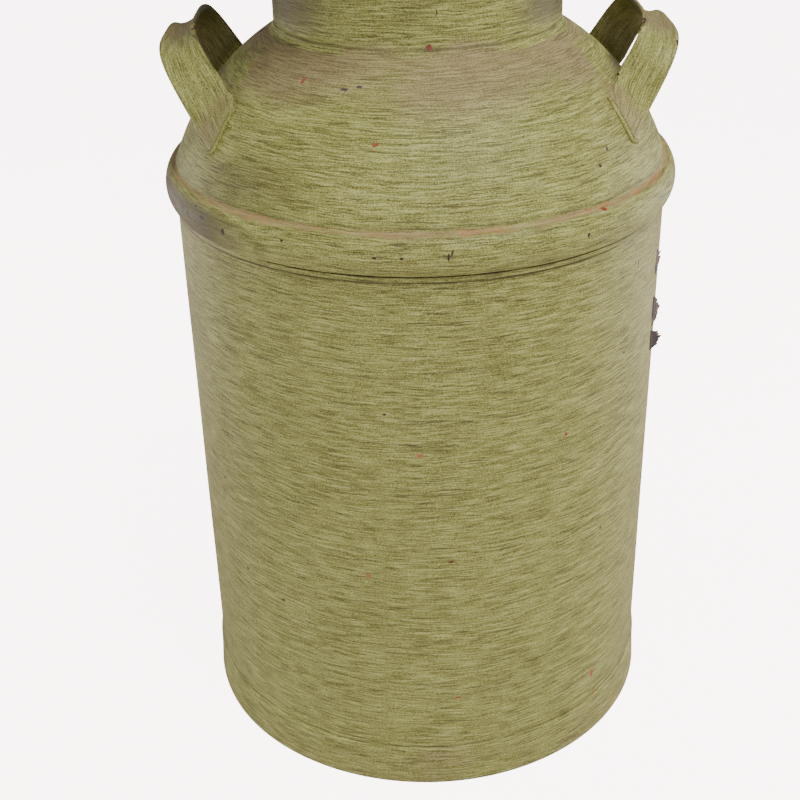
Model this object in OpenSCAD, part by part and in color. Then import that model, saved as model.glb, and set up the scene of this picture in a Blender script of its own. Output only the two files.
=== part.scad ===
// Ten-gallon milk can of painted sheet steel, with two strap handles and a
// lift-off plug lid. The origin is the centre of the foot ring on the floor.

/* [Body] */
// Outside radius of the body cylinder
body_r = 165; // [160:1:172]
// Height from the floor to the lower edge of the shoulder band
body_h = 394; // [300:1:450]
// Thickness of the sheet steel
sheet = 1.5; // [1:0.1:2]

/* [Foot] */
// Height of the bottom hoop
hoop_h = 31; // [20:1:45]
// How far the bottom hoop stands out at the floor
hoop_flare = 2.9; // [2:0.1:4]
// Height of the bottom pan's rim above the floor
pan_h = 30; // [20:1:45]
// How much lower the middle of the bottom pan lies than its rim
pan_dish = 5; // [2:1:10]

/* [Shoulder] */
// Height of the half-round band that covers the joint of body and shoulder
band_h = 24.3; // [20:0.1:28]
// Radius of the band's rounded face
band_bead_r = 19; // [16:0.5:24]
// How far the band stands out past the body
band_out = 6.6; // [5.5:0.1:8]
// Height of the shoulder from the band's upper edge to the neck
dome_h = 84.8; // [75:0.1:100]
// Radius of the shoulder's rounded profile
dome_r = 156.3; // [130:0.1:200]
// Height of the lap strip below the band
strip_h = 4; // [3:0.5:8]
// Angle that the lap strip covers
strip_angle = 300; // [200:5:340]

/* [Neck] */
// Outside radius of the neck
neck_r = 93.2; // [88:0.1:100]
// Height of the straight part of the neck above the shoulder
neck_h = 69; // [50:1:90]
// Outside radius of the mouth's upright lip
mouth_r = 110.5; // [108:0.5:116]
// Height of the conical flare between neck and lip
flare_h = 28; // [24:1:36]
// Height of the mouth's upright lip
lip_h = 18; // [15:1:24]

/* [Handles] */
// Height of each handle's grip above the foot of its arch
grip_h = 49.4; // [45:0.1:54]
// Half the distance between the two legs of a handle
leg_half_gap = 56.4; // [52:0.1:60]
// Width of the strap at the foot
strap_foot_w = 33; // [29:0.1:35]
// Width of the strap at the grip
strap_grip_w = 26; // [22:0.1:30]
// Thickness of the strap
strap_t = 2.6; // [2:0.1:3]
// Lean of the handle's plane above the horizontal
handle_lean = 61.4; // [57:0.1:64]

/* [Lid] */
// Depth of the lid's dish below the mouth
dish_depth = 66; // [56:1:72]
// Width of the strap across the lid
lid_strap_w = 26; // [20:1:32]
// Height of the lid strap's middle above the mouth
lid_strap_rise = 17; // [12:1:20]

/* [Hidden] */
$fn = 128;

paint_green = [0.50, 0.52, 0.32];
paint_light = [0.56, 0.58, 0.38];
paint_dark = [0.40, 0.42, 0.26];
tin_grey = [0.62, 0.62, 0.58];

// Heights of the joints, from the floor up
band_top = body_h + band_h;
neck_z = band_top + dome_h;
flare_z = neck_z + neck_h;
lip_z = flare_z + flare_h;
mouth_z = lip_z + lip_h;

// Shoulder: an arc through the groove above the band and the foot of the neck
groove_in = 1.2;
groove_r = body_r - groove_in;
chord = [neck_r - groove_r, dome_h];
chord_mid = [(neck_r + groove_r) / 2, band_top + dome_h / 2];
chord_back = sqrt(dome_r * dome_r - norm(chord) * norm(chord) / 4);
dome_c = chord_mid + chord_back * [-chord[1], chord[0]] / norm(chord);
skirt_top = body_h + 0.56 * band_h;
join_z = band_top - 1.3;
dome_steps = 24;
shell_top = skirt_top - 1;
neck_lap = 6;
fillet_steps = 6;

// Foot and seams
solder_r = 6;
seam_strip_w = 24;
seam_gap = 8;
hoop_edge = 1.2;
hoop_bevel = 0.6;
pan_land = 14;
pan_slope = 20;
pan_foot = 1;
strip_out = 1.8;
strip_start = 234.8;

// Handles: foot of the arch below the shoulder's face, and the two directions of its plane
arch_foot = [126.6, 0, 457.2];
arch_up = [cos(handle_lean), 0, sin(handle_lean)];
arch_across = [-sin(handle_lean), 0, cos(handle_lean)];

// Handles: how square and how splayed the arch is, and how far the grip's edges turn up
arch_square = 3.6;
arch_splay = -0.042;
lip_rise = 5.4;

// Handles: the foot tabs sink a little into the shoulder, and their ends are welded down
strap_sink = 0.2;
strap_lift = strap_t / 2 - strap_sink;
tab_az = 32;
tab_phi_top = 39.5;
tab_phi_tip = 29.6;
weld_r = 1.8;

// Handles: steps along the arch and each tab, and across the strap
arch_steps = 14;
tab_steps = 3;
across_steps = 6;

// Mouth hoop: a half-round section outside the lip
mouth_hoop_r = 6;
mouth_hoop_out = 7;
mouth_hoop_c = [mouth_r + mouth_hoop_out - mouth_hoop_r, mouth_z - 8];

// Lid: gaps to the neck and to the mouth
plug_gap = 0.75;
rest_gap = 0.4;
plug_r = neck_r - sheet - plug_gap;
dish_r = mouth_r - sheet - 3;
crown_out_r = mouth_r + 10;
crown_in_r = dish_r;
crown_r = (crown_out_r - crown_in_r) / 2;
crown_mid_r = (crown_out_r + crown_in_r) / 2;
crown_under = crown_r - sheet;
lip_inner_reach = crown_mid_r - (mouth_r - sheet);
crown_z = mouth_z + rest_gap - sqrt(crown_under * crown_under - lip_inner_reach * lip_inner_reach);
crown_lap = 3;
dish_z = mouth_z - dish_depth;
dish_top = crown_z + 2;
dish_corner = 6;
dish_corner_in = 5.4;
edge_wire_r = 2.5;
edge_bite = 0.2;
edge_z = mouth_z - 15;

// Lid strap: its ends run past the dish's wall and are trimmed to a hair's breadth inside it
lid_strap_t = 2.5;
lid_strap_r = 300;
lid_strap_bend = 12;
lid_strap_foot = lip_z + 1;
lid_strap_over = 1.5;
lid_strap_gap = 0.15;

// Rivets through the lid strap's ends, their heads inside the dish
rivet_r = 2;
rivet_head_r = 4.5;
rivet_head_h = 1.6;
rivet_tail = 1;
rivet_side = 7;
rivet_up = 8;

// ---------------------------------------------------------------- profiles

// Radius of the shoulder's outer face at height z
function dome_radius(z) = dome_c[0] + sqrt(dome_r * dome_r - (z - dome_c[1]) * (z - dome_c[1]));

// Height of the shoulder's outer face at radius r, for a face moved in by inset
function dome_height(r, inset) =
    dome_c[1] + sqrt((dome_r - inset) * (dome_r - inset) - (r - dome_c[0]) * (r - dome_c[0]));

// A ring with a rectangular section
module ring(r_in, r_out, z_low, z_high) {
    rotate_extrude()
        translate([r_in, z_low])
            square([r_out - r_in, z_high - z_low]);
}

// -------------------------------------------------------------------- body

module body_shell() {
    color(paint_green)
        ring(body_r - sheet, body_r, 0, shell_top);
}

// Backing strip behind the butt joint of the rolled body sheet
module body_seam_strip() {
    half = atan(seam_strip_w / 2 / body_r);
    color(tin_grey)
        rotate_extrude(angle = 2 * half, start = 90 - half)
            translate([body_r - 2 * sheet, pan_h + seam_gap])
                square([sheet, shell_top - pan_h - 2 * seam_gap]);
}

// Dished bottom with a flange turned down inside the body
module bottom_pan() {
    rim = body_r - sheet;
    land = rim - pan_land;
    color(tin_grey)
        rotate_extrude()
            polygon([
                [rim, pan_foot], [rim, pan_h], [land, pan_h], [land - pan_slope, pan_h - pan_dish],
                [0, pan_h - pan_dish], [0, pan_h - pan_dish - sheet],
                [land - pan_slope, pan_h - pan_dish - sheet], [land, pan_h - sheet],
                [rim - sheet, pan_h - sheet], [rim - sheet, pan_foot]
            ]);
}

// Hoop around the foot, flared out towards the floor
module bottom_hoop() {
    color(paint_dark)
        rotate_extrude()
            polygon([
                [body_r, 0], [body_r + hoop_flare, 0],
                [body_r + sheet + hoop_bevel / 2, hoop_h / 2], [body_r + sheet, hoop_h - hoop_edge],
                [body_r + sheet - hoop_bevel, hoop_h], [body_r, hoop_h]
            ]);
}

// Solder fillet that rounds the inside corner at the bottom
module bottom_solder() {
    rim = body_r - sheet;
    color(tin_grey)
        rotate_extrude()
            difference() {
                translate([rim - solder_r, pan_h])
                    square(solder_r);
                translate([rim - solder_r, pan_h + solder_r])
                    circle(r = solder_r);
            }
}

// ---------------------------------------------------------------- shoulder

// Points of the dome's profile from the groove up to the neck, for a face moved in by inset
function dome_points(inset) =
    let (
        rad = dome_r - inset,
        low = asin((join_z - dome_c[1]) / rad),
        high = acos((neck_r - dome_c[0]) / rad)
    )
    [for (k = [0 : dome_steps])
        let (a = low + (high - low) * k / dome_steps)
        dome_c + rad * [cos(a), sin(a)]];

// Pressed shoulder: a skirt that laps over the body, then a rounded dome
module shoulder() {
    inner = dome_points(sheet);
    color(paint_green)
        rotate_extrude()
            polygon(concat(
                [[body_r, skirt_top], [body_r, body_h], [body_r + sheet, body_h], [body_r + sheet, skirt_top]],
                dome_points(0),
                [for (k = [dome_steps : -1 : 0]) inner[k]]
            ));
}

// Half-round hoop over the joint of body and shoulder
module shoulder_band() {
    color(paint_light)
        rotate_extrude()
            intersection() {
                translate([body_r + band_out - band_bead_r, body_h + band_h / 2])
                    circle(r = band_bead_r);
                polygon([
                    [body_r + sheet, body_h], [body_r + 2 * band_out, body_h],
                    [body_r + 2 * band_out, band_top], [dome_radius(band_top), band_top],
                    [dome_radius(join_z), join_z], [body_r + sheet, skirt_top]
                ]);
            }
}

// Narrow strip soldered below the band, open over part of the left side
module lap_strip() {
    color(paint_dark)
        rotate_extrude(angle = strip_angle, start = strip_start)
            translate([body_r, body_h - strip_h])
                square([strip_out, strip_h]);
}

// -------------------------------------------------------------------- neck

// Straight neck, conical flare and upright lip, rolled from one sheet
module neck_collar() {
    color(paint_green)
        rotate_extrude()
            polygon([
                [neck_r - sheet, neck_z - neck_lap], [neck_r, neck_z - neck_lap], [neck_r, flare_z],
                [mouth_r, lip_z], [mouth_r, mouth_z], [mouth_r - sheet, mouth_z],
                [mouth_r - sheet, lip_z], [neck_r - sheet, flare_z]
            ]);
}

// Solder fillet between the shoulder and the neck
module neck_solder() {
    fillet_c = [neck_r + solder_r, dome_height(neck_r + solder_r, -solder_r)];
    start = 180 + atan2(fillet_c[1] - dome_c[1], fillet_c[0] - dome_c[0]);
    color(paint_light)
        rotate_extrude()
            polygon(concat(
                [[neck_r, neck_z]],
                [for (k = [0 : fillet_steps])
                    let (a = start + (180 - start) * k / fillet_steps)
                    fillet_c + solder_r * [cos(a), sin(a)]]
            ));
}

// Half-round hoop that stiffens the mouth
module mouth_hoop() {
    color(paint_light)
        rotate_extrude()
            intersection() {
                translate(mouth_hoop_c)
                    circle(r = mouth_hoop_r);
                translate([mouth_r, lip_z])
                    square([4 * mouth_hoop_r, lip_h]);
            }
}

// ----------------------------------------------------------------- handles

function smooth(x) = let (k = min(1, max(0, x))) k * k * (3 - 2 * k);

// Point of the arch's middle face: turn runs from foot to foot, side runs across the strap
function arch_point(turn, side) =
    let (
        up = pow(abs(cos(turn)), 2 / arch_square),
        along = sign(turn) * pow(abs(sin(turn)), 2 / arch_square) * (1 + arch_splay * (1 - up)),
        width = strap_foot_w + (strap_grip_w - strap_foot_w) * up,
        rise = grip_h * up + lip_rise * smooth((up - 0.35) / 0.6) * pow(abs(side), 2.5)
    )
    arch_foot + rise * arch_up + [0, leg_half_gap * along, 0] + side * width / 2 * arch_across;

// Coordinates of a point on the shoulder: its bearing and its angle on the arc
function bearing(p) = atan2(p[1], p[0]);
function arc_angle(p) = atan2(p[2] - dome_c[1], norm([p[0], p[1]]) - dome_c[0]);
function above_dome(p) = norm([norm([p[0], p[1]]) - dome_c[0], p[2] - dome_c[1]]) - dome_r;
function dome_point(az, phi, lift) =
    let (r = dome_c[0] + (dome_r + lift) * cos(phi))
    [r * cos(az), r * sin(az), dome_c[1] + (dome_r + lift) * sin(phi)];
function dome_normal(az, phi) = [cos(phi) * cos(az), cos(phi) * sin(az), sin(phi)];

// Turn at which an edge of the strap lands on the shoulder, found by halving
function landing(side, low, high, steps) =
    let (mid = (low + high) / 2)
    steps == 0 ? mid
    : above_dome(arch_point(mid, side)) > strap_lift ? landing(side, mid, high, steps - 1)
    : landing(side, low, mid, steps - 1);

// Middle face of the whole strap, one row of points for each station along it
function arch_turn(k) = let (q = abs(k) / arch_steps) sign(k) * (1 - (1 - q) * (1 - q));
function strap_point(k, side) =
    let (land = landing(side, 20, 89.99, 20))
    abs(k) <= arch_steps ? arch_point(arch_turn(k) * land, side)
    : let (
        foot = arch_point(sign(k) * land, side),
        q = (abs(k) - arch_steps) / tab_steps,
        end_phi = tab_phi_tip + (tab_phi_top - tab_phi_tip) * (side + 1) / 2
    )
    dome_point(
        bearing(foot) * (1 - q) + sign(k) * tab_az * q,
        arc_angle(foot) * (1 - q) + end_phi * q,
        strap_lift
    );

// Normal of the middle face, pointing away from the inside of the loop
function strap_normal(k, side) =
    let (
        here = strap_point(k, side),
        ahead = strap_point(min(k + 1, arch_steps + tab_steps), side),
        behind = strap_point(max(k - 1, -arch_steps - tab_steps), side),
        across = strap_point(k, min(1, side + 0.1)) - strap_point(k, max(-1, side - 0.1)),
        free = cross(across, ahead - behind),
        blend = smooth(above_dome(here) / 8),
        mixed = free / norm(free) * blend
            + dome_normal(bearing(here), arc_angle(here)) * (1 - blend)
    )
    mixed / norm(mixed);

function strap_ring(k) = [
    for (face = [1, -1])
        for (j = [0 : across_steps])
            let (side = face * (2 * j / across_steps - 1))
            strap_point(k, side) + face * strap_t / 2 * strap_normal(k, side)
];

// Two triangles between a ring and the next one
function wall(ring_no, j, sides) =
    let (a = ring_no * sides + j, b = ring_no * sides + (j + 1) % sides)
    [[a, b + sides, b], [a, a + sides, b + sides]];

// Strap handle on the +X side, with a foot tab at each end that lies on the shoulder
module strap_handle() {
    sides = 2 * (across_steps + 1);
    last = 2 * (arch_steps + tab_steps);
    rings = [for (k = [-arch_steps - tab_steps : arch_steps + tab_steps]) strap_ring(k)];
    points = [for (ring_points = rings) each ring_points];
    walls = [
        for (k = [0 : last - 1], j = [0 : sides - 1]) each wall((k + last / 2) % last, j, sides)
    ];
    caps = [
        for (end = [0, last])
            for (j = [0 : across_steps - 1])
                let (
                    a = end * sides + j,
                    b = end * sides + sides - 1 - j,
                    quads = [[a, a + 1, b], [a + 1, b - 1, b]]
                )
                each end == 0 ? quads : [for (q = quads) [q[0], q[2], q[1]]]
    ];
    polyhedron(points = points, faces = concat(walls, caps));
}

module right_handle() {
    color(paint_light)
        strap_handle();
}

module left_handle() {
    color(paint_light)
        rotate([0, 0, 180])
            strap_handle();
}

// Weld bead along the free edge of each foot tab
module handle_welds() {
    color(paint_dark)
        for (side = [0, 180])
            for (az = [-tab_az, tab_az])
                rotate([0, 0, side + az])
                    translate([dome_c[0], 0, dome_c[1]])
                        rotate([90, 0, 0])
                            rotate_extrude(angle = tab_phi_top - tab_phi_tip, start = tab_phi_tip)
                                translate([dome_r + strap_lift, 0])
                                    circle(r = weld_r);
}

// --------------------------------------------------------------------- lid

// Deep-drawn dish whose lower part plugs the neck
module lid_dish() {
    floor_r = plug_r - dish_corner;
    color(paint_green)
        rotate_extrude()
            polygon([
                [0, dish_z], [floor_r, dish_z], [plug_r, dish_z + dish_corner], [plug_r, flare_z - 1],
                [dish_r, lip_z], [dish_r, dish_top], [dish_r - sheet, dish_top],
                [dish_r - sheet, lip_z + 0.5], [plug_r - sheet, flare_z - 0.5],
                [plug_r - sheet, dish_z + sheet + dish_corner_in],
                [plug_r - sheet - dish_corner_in, dish_z + sheet], [0, dish_z + sheet]
            ]);
}

// Rounded crown that covers the mouth, with an upright skirt outside it
module lid_crown() {
    color(paint_light)
        rotate_extrude()
            union() {
                translate([crown_mid_r, crown_z])
                    intersection() {
                        difference() {
                            circle(r = crown_r);
                            circle(r = crown_under);
                        }
                        translate([-2 * crown_r, 0])
                            square([4 * crown_r, 2 * crown_r]);
                    }
                translate([crown_in_r, crown_z - crown_lap])
                    square([sheet, crown_lap]);
                translate([crown_out_r - sheet, edge_z])
                    square([sheet, crown_z - edge_z]);
            }
}

// Wire that the lid's lower edge is rolled over
module lid_edge_wire() {
    color(paint_dark)
        rotate_extrude()
            translate([crown_out_r + edge_wire_r - edge_bite, edge_z + edge_wire_r])
                circle(r = edge_wire_r);
}

// Outline of the lid's strap seen from the front, for a face moved in by inset
function strap_outline(inset) =
    let (
        top = mouth_z + lid_strap_rise - inset,
        big = lid_strap_r - inset,
        bend = lid_strap_bend - inset,
        bend_x = dish_r - sheet - lid_strap_bend,
        bend_z = top - big + sqrt((big - bend) * (big - bend) - bend_x * bend_x),
        tilt = asin(bend_x / (big - bend)),
        foot_x = bend_x + bend + lid_strap_over,
        knee_x = bend_x + bend + (inset > 0 ? 0 : lid_strap_over)
    )
    concat(
        [[foot_x, lid_strap_foot], [knee_x, bend_z]],
        [for (k = [1 : 4]) let (a = (90 - tilt) * k / 5) [bend_x + bend * cos(a), bend_z + bend * sin(a)]],
        [for (k = [0 : 8]) let (a = tilt * (1 - k / 4)) [big * sin(a), top - big + big * cos(a)]],
        [for (k = [4 : -1 : 1]) let (a = (90 - tilt) * k / 5) [-bend_x - bend * cos(a), bend_z + bend * sin(a)]],
        [[-knee_x, bend_z], [-foot_x, lid_strap_foot]]
    );

// Strap across the lid, its ends turned down against the dish's wall
module lid_handle() {
    color(paint_green)
        intersection() {
            rotate([90, 0, 0])
                linear_extrude(height = lid_strap_w, center = true)
                    difference() {
                        polygon(strap_outline(0));
                        translate([0, -1])
                            polygon(strap_outline(lid_strap_t));
                    }
            cylinder(r = dish_r - sheet - lid_strap_gap, h = 2 * mouth_z);
        }
}

// Two rivets through each end of the lid's strap
module lid_rivets() {
    wall = dish_r - sheet;
    shank = rivet_head_h + lid_strap_t + sheet + rivet_tail;
    color(tin_grey)
        for (end = [0, 180])
            for (y = [-rivet_side, rivet_side])
                rotate([0, 0, end])
                    translate([0, y, lid_strap_foot + rivet_up])
                        rotate([0, 90, 0])
                            union() {
                                translate([0, 0, wall - lid_strap_t - rivet_head_h])
                                    cylinder(r = rivet_head_r, h = rivet_head_h, $fn = 32);
                                translate([0, 0, wall - lid_strap_t - rivet_head_h])
                                    cylinder(r = rivet_r, h = shank, $fn = 32);
                            }
}

body_shell();
body_seam_strip();
bottom_pan();
bottom_hoop();
bottom_solder();
shoulder();
shoulder_band();
lap_strip();
neck_collar();
neck_solder();
mouth_hoop();
left_handle();
right_handle();
handle_welds();
lid_dish();
lid_crown();
lid_edge_wire();
lid_handle();
lid_rivets();
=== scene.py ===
"""The looks of a painted steel milk can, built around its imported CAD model. Lengths are in metres."""
import bpy
from math import asin, atan2, ceil, copysign, cos, degrees, dist, exp, hypot, pi, radians, sin, sqrt, tau
from mathutils import Matrix, Vector, noise


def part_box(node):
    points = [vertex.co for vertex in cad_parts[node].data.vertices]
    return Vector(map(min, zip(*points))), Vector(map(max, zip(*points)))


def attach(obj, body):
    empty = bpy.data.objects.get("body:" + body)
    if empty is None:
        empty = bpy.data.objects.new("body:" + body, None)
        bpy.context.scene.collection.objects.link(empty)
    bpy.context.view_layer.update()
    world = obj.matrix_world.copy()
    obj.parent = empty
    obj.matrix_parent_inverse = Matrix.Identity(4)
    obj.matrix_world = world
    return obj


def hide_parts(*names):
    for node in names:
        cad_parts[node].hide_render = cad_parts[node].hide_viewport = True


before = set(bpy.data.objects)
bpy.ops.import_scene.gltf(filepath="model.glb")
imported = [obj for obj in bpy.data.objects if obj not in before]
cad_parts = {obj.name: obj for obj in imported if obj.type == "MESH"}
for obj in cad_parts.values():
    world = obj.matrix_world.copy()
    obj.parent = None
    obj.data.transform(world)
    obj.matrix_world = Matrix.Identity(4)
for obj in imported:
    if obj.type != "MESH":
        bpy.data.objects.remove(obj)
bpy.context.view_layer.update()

MM = 0.001


def box_top(node):
    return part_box(node)[1].z


# Sizes read from the frame
BODY_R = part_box("body_shell")[1].x
HOOP_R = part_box("bottom_hoop")[1].x
HOOP_TOP = box_top("bottom_hoop")
BAND_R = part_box("shoulder_band")[1].x
BAND_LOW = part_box("shoulder_band")[0].z
BAND_TOP = box_top("shoulder_band")
STRIP_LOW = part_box("lap_strip")[0].z
MOUTH_TOP = box_top("neck_collar")
LIP_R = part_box("neck_collar")[1].x
MOUTH_HOOP_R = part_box("mouth_hoop")[1].x
PAN_TOP = box_top("bottom_pan")
LID_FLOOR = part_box("lid_dish")[0].z
LID_DISH_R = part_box("lid_dish")[1].x
LID_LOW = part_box("lid_edge_wire")[0].z
LID_TOP = box_top("lid_crown")
LID_STRAP_TOP = box_top("lid_handle")
LID_STRAP_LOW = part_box("lid_handle")[0].z
LID_STRAP_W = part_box("lid_handle")[1].y * 2
LID_STRAP_T = 2.5 * MM

# Sizes that the frame's boxes don't show
SHEET = 1.5 * MM
NECK_R = 93.2 * MM
NECK_Z = BAND_TOP + 84.8 * MM
FLARE_Z = NECK_Z + 69 * MM
LIP_Z = FLARE_Z + 28 * MM
DOME_R = 156.3 * MM
GROOVE_R = BODY_R - 1.2 * MM

# Light
LIGHT_DISTANCE = 2.2
NEAR_LIGHT = 1.1
WORLD_LIGHT = 0.34
BACKDROP = 8.0
FLOOR_SIZE = 30

# Bearings are in degrees from the front (-Y), positive towards the right handle (+X)
SEAM_BEARING = 180
STRIP_START = -35.2
STRIP_SWEEP = 300


def dome_centre():
    """Centre of the shoulder's arc, in the (radius, height) plane."""
    a, b = Vector((GROOVE_R, BAND_TOP)), Vector((NECK_R, NECK_Z))
    chord = b - a
    back = sqrt(DOME_R ** 2 - chord.length_squared / 4)
    return (a + b) / 2 + Vector((-chord.y, chord.x)).normalized() * back


DOME_C = dome_centre()


# Small helpers

def smooth(x):
    x = min(1, max(0, x))
    return x * x * (3 - 2 * x)


def hill(x, centre, width):
    return exp(-((x - centre) / width) ** 2)


def apart(a, b):
    """Difference of two bearings, from -180 to 180."""
    return (a - b + 180) % 360 - 180


def wobble(point, scale, seed=0):
    """Smooth noise from about -1 to 1 at a point."""
    return noise.noise(Vector(point) * scale + Vector((seed, 2 * seed, 3 * seed)))


def arc(centre, radius, start, end, steps):
    """Points of an arc in the profile plane, its angles in degrees."""
    turn = [radians(start + (end - start) * k / steps) for k in range(steps + 1)]
    return [(centre[0] + radius * cos(a), centre[1] + radius * sin(a)) for a in turn]


def rounded(corners, radius, steps=5):
    """A closed outline with each corner rounded. A corner may give its own radius as a third number."""
    out = []
    for i, corner in enumerate(corners):
        here = Vector(corner[:2])
        before = Vector(corners[i - 1][:2]) - here
        after = Vector(corners[(i + 1) % len(corners)][:2]) - here
        reach = corner[2] if len(corner) > 2 else radius
        reach = min(reach, before.length * 0.45, after.length * 0.45)
        if reach < 1e-6:
            out.append(tuple(here))
            continue
        a, b = here + before.normalized() * reach, here + after.normalized() * reach
        for k in range(steps + 1):
            t = k / steps
            out.append(tuple(a * (1 - t) ** 2 + here * 2 * t * (1 - t) + b * t * t))
    return out


def fine(outline, step, closed=True):
    """The outline with points added so that no edge is longer than step."""
    out = []
    count = len(outline) if closed else len(outline) - 1
    for i in range(count):
        a, b = Vector(outline[i]), Vector(outline[(i + 1) % len(outline)])
        parts = max(1, ceil((b - a).length / step))
        out += [tuple(a.lerp(b, k / parts)) for k in range(parts)]
    if not closed:
        out.append(outline[-1])
    return out


# Dents pressed into the can's wall: bearing, height, width, depth
DENTS = [
    (-69, 0.106, 0.020, 0.0011),
    (62, 0.335, 0.030, 0.0006),
    (38, 0.100, 0.045, 0.0006),
    (-28, 0.215, 0.060, 0.0005),
    (130, 0.180, 0.040, 0.0010),
    (-140, 0.290, 0.035, 0.0009),
    (205, 0.080, 0.030, 0.0008),
]


def wall_shift(bearing, z):
    """How far the hand-made wall stands off a true circle."""
    a = radians(bearing)
    shift = 0.35 * MM * wobble((cos(a), sin(a), z * 5), 1.6)
    for at, height, width, depth in DENTS:
        along = radians(apart(bearing, at)) * BODY_R
        shift -= depth * exp(-(along ** 2 + (z - height) ** 2) / width ** 2)
    return shift


def no_shift(bearing, z):
    """For a piece that is truly round."""
    return 0


def no_mask(bearing, r, z):
    """Wear to primer, dust and chips at a point, from 0 to about 1. Dust below 0 means painted shade."""
    return 0, 0, 0


def make_mesh(name, verts, faces, strokes, masks, slot, body, node=None, material=None):
    """A smooth-shaded piece with its brush-stroke and wear attributes, riding on a body."""
    mesh = bpy.data.meshes.new(name)
    mesh.from_pydata([tuple(v) for v in verts], [], faces)
    mesh.validate()
    stroke = mesh.attributes.new("stroke", "FLOAT_VECTOR", "POINT")
    stroke.data.foreach_set("vector", [c for s in strokes for c in s])
    mask = mesh.attributes.new("mask", "FLOAT_VECTOR", "POINT")
    mask.data.foreach_set("vector", [c for m in masks for c in m])
    mesh.shade_smooth()
    piece = bpy.data.objects.new(name, mesh)
    bpy.context.scene.collection.objects.link(piece)
    piece.data.materials.append(material or MATERIALS[slot])
    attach(piece, body)
    if node:
        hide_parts(*([node] if isinstance(node, str) else node))


def ring_faces(low, high, count, steps):
    """Faces between two rings of points. Either ring may be a single point, a pole."""
    faces = []
    for k in range(steps):
        n = (k + 1) % count
        corners = [low[k % len(low)], low[n % len(low)], high[n % len(high)], high[k % len(high)]]
        faces.append(list(dict.fromkeys(corners)))
    return faces


def tube_faces(rings, size, base=0):
    """Faces that join equal rings of points, stored one after the other from base on."""
    numbers = [list(range(base + i * size, base + (i + 1) * size)) for i in range(rings)]
    return [face for low, high in zip(numbers, numbers[1:]) for face in ring_faces(low, high, size, size)]


def tube_ends(rings, size, base=0):
    """The two faces that close such a tube."""
    last = base + (rings - 1) * size
    return [list(range(base + size - 1, base - 1, -1)), list(range(last, last + size))]


def revolve(name, outline, slot, body, node, segments, shift=no_shift,
            mask=no_mask, start=0, sweep=360):
    """Turns a closed outline of (radius, height) points about Z. Points on the axis become poles."""
    whole = sweep == 360
    columns = segments if whole else segments + 1
    verts, strokes, masks, index = [], [], [], []
    path = 0
    last = outline[0]
    for r, z in outline:
        path += hypot(r - last[0], z - last[1])
        last = (r, z)
        pole = r < 1e-6
        row = []
        for k in range(1 if pole else columns):
            bearing = start + sweep * k / segments
            a = radians(bearing)
            wide = r + (0 if pole else shift(bearing, z))
            row.append(len(verts))
            verts.append((wide * sin(a), -wide * cos(a), z))
            strokes.append((r * sin(a), -r * cos(a), path))
            masks.append(mask(bearing, r, z))
        index.append(row)
    faces = []
    rows = len(index)
    for i in range(rows):
        low, high = index[i], index[(i + 1) % rows]
        if len(low) > 1 or len(high) > 1:
            faces += ring_faces(low, high, columns, segments)
    if not whole:
        faces.append([row[0] for row in reversed(index)])
        faces.append([row[-1] for row in index])
    make_mesh(name, verts, faces, strokes, masks, slot, body, node)


# Materials

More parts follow.
